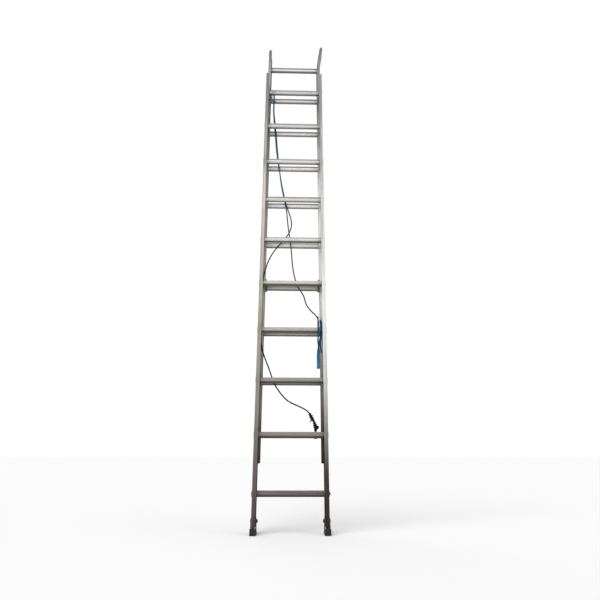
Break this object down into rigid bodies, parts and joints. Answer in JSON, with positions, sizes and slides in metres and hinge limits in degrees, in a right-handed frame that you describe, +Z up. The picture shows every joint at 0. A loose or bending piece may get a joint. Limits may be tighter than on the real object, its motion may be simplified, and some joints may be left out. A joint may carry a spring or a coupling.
{
  "type": "extension ladder",
  "caption": "Aluminium extension ladder with a fly section sliding on a base section, rung locks, pulley, rope and swivel shoes.",
  "frame": {"origin": "floor level under the middle of the ladder, halfway between base and fly section", "axes": "+X to the right seen from the climbing side, +Y from the climbing side to the back, +Z up along the rails"},
  "size_m": [0.4355, 0.1755, 3.453],
  "materials": {
    "base_rail": "weathered mill finish, darker and browner towards the feet",
    "fly_rail": "weathered mill finish",
    "rung": "ribbed tread, worn bright on top",
    "lock_casting": "dull casting",
    "fixing_steel": "dull, dirty zinc",
    "sheave": "dark, worn in the groove",
    "shoe_steel": "dark and dirty",
    "shoe_rubber": "matt black",
    "rope": "faded grey-blue twisted rope",
    "rope_blue": "less faded blue twisted rope",
    "lashing": "black cord, tightly wound"
  },
  "bodies": {
    "base": {"base_rail_left": "base_rail", "base_rail_right": "base_rail", "base_rung_01": "rung", "base_rung_02": "rung", "base_rung_03": "rung", "base_rung_04": "rung", "base_rung_05": "rung", "base_rung_06": "rung", "base_rung_07": "rung", "base_rung_08": "rung", "base_rung_09": "rung", "base_rung_10": "rung", "tie_rod": "fixing_steel", "tie_rod_fixings": "fixing_steel", "shoe_bolt_left": "fixing_steel", "shoe_bolt_right": "fixing_steel", "shoe_nut_left": "fixing_steel", "shoe_nut_right": "fixing_steel", "shoe_spacer_left": "fixing_steel", "shoe_spacer_right": "fixing_steel", "pulley_bracket": "fixing_steel", "pulley_axle": "fixing_steel", "rope_hauling": "rope", "rope_hank": "rope_blue"},
    "fly": {"fly_rail_left": "fly_rail", "fly_rail_right": "fly_rail", "fly_rung_01": "rung", "fly_rung_02": "rung", "fly_rung_03": "rung", "fly_rung_04": "rung", "fly_rung_05": "rung", "fly_rung_06": "rung", "fly_rung_07": "rung", "fly_rung_08": "rung", "fly_rung_09": "rung", "fly_rung_10": "rung", "lock_bracket_left": "lock_casting", "lock_bracket_right": "lock_casting", "lock_pin_left": "fixing_steel", "lock_pin_right": "fixing_steel", "lock_spring_left": "fixing_steel", "lock_spring_right": "fixing_steel", "rope_standing": "rope", "rope_lashing": "lashing"},
    "sheave": {"pulley_sheave": "sheave"},
    "shoe_left": {"shoe_bracket_left": "shoe_steel", "shoe_pad_left": "shoe_rubber", "shoe_rivets_left": "fixing_steel"},
    "lock_left": {"lock_hook_left": "lock_casting"},
    "finger_left": {"lock_finger_left": "fixing_steel"},
    "shoe_right": {"shoe_bracket_right": "shoe_steel", "shoe_pad_right": "shoe_rubber", "shoe_rivets_right": "fixing_steel"},
    "lock_right": {"lock_hook_right": "lock_casting"},
    "finger_right": {"lock_finger_right": "fixing_steel"}
  },
  "joints": [
    {"name": "fly_slide", "type": "slide", "parent": "base", "child": "fly", "axis": [0, 0, 1], "range_m": [0, 1.524], "deforming": ["rope_standing"]},
    {"name": "shoe_left_swivel", "type": "hinge", "parent": "base", "child": "shoe_left", "pos_m": [-0.1955, -0.042, 0.064], "axis": [1, 0, 0], "range_deg": [-60, 60]},
    {"name": "lock_left_hook", "type": "hinge", "parent": "fly", "child": "lock_left", "pos_m": [-0.168, 0.008, 1.3876], "axis": [1, 0, 0], "range_deg": [-25, 0], "stiffness_Nm_per_rad": 0.1, "springref_deg": 11.46},
    {"name": "lock_left_finger", "type": "hinge", "parent": "lock_left", "child": "finger_left", "pos_m": [-0.162, -0.014, 1.4386], "axis": [1, 0, 0], "range_deg": [0, 35]},
    {"name": "shoe_right_swivel", "type": "hinge", "parent": "base", "child": "shoe_right", "pos_m": [0.1955, -0.042, 0.064], "axis": [1, 0, 0], "range_deg": [-60, 60]},
    {"name": "lock_right_hook", "type": "hinge", "parent": "fly", "child": "lock_right", "pos_m": [0.168, 0.008, 1.3876], "axis": [1, 0, 0], "range_deg": [-25, 0], "stiffness_Nm_per_rad": 0.1, "springref_deg": 11.46},
    {"name": "lock_right_finger", "type": "hinge", "parent": "lock_right", "child": "finger_right", "pos_m": [0.162, -0.014, 1.4386], "axis": [1, 0, 0], "range_deg": [0, 35]},
    {"name": "sheave_spin", "type": "hinge", "parent": "base", "child": "sheave", "pos_m": [-0.149, 0, 2.896], "axis": [1, 0, 0], "continuous": true}
  ]
}
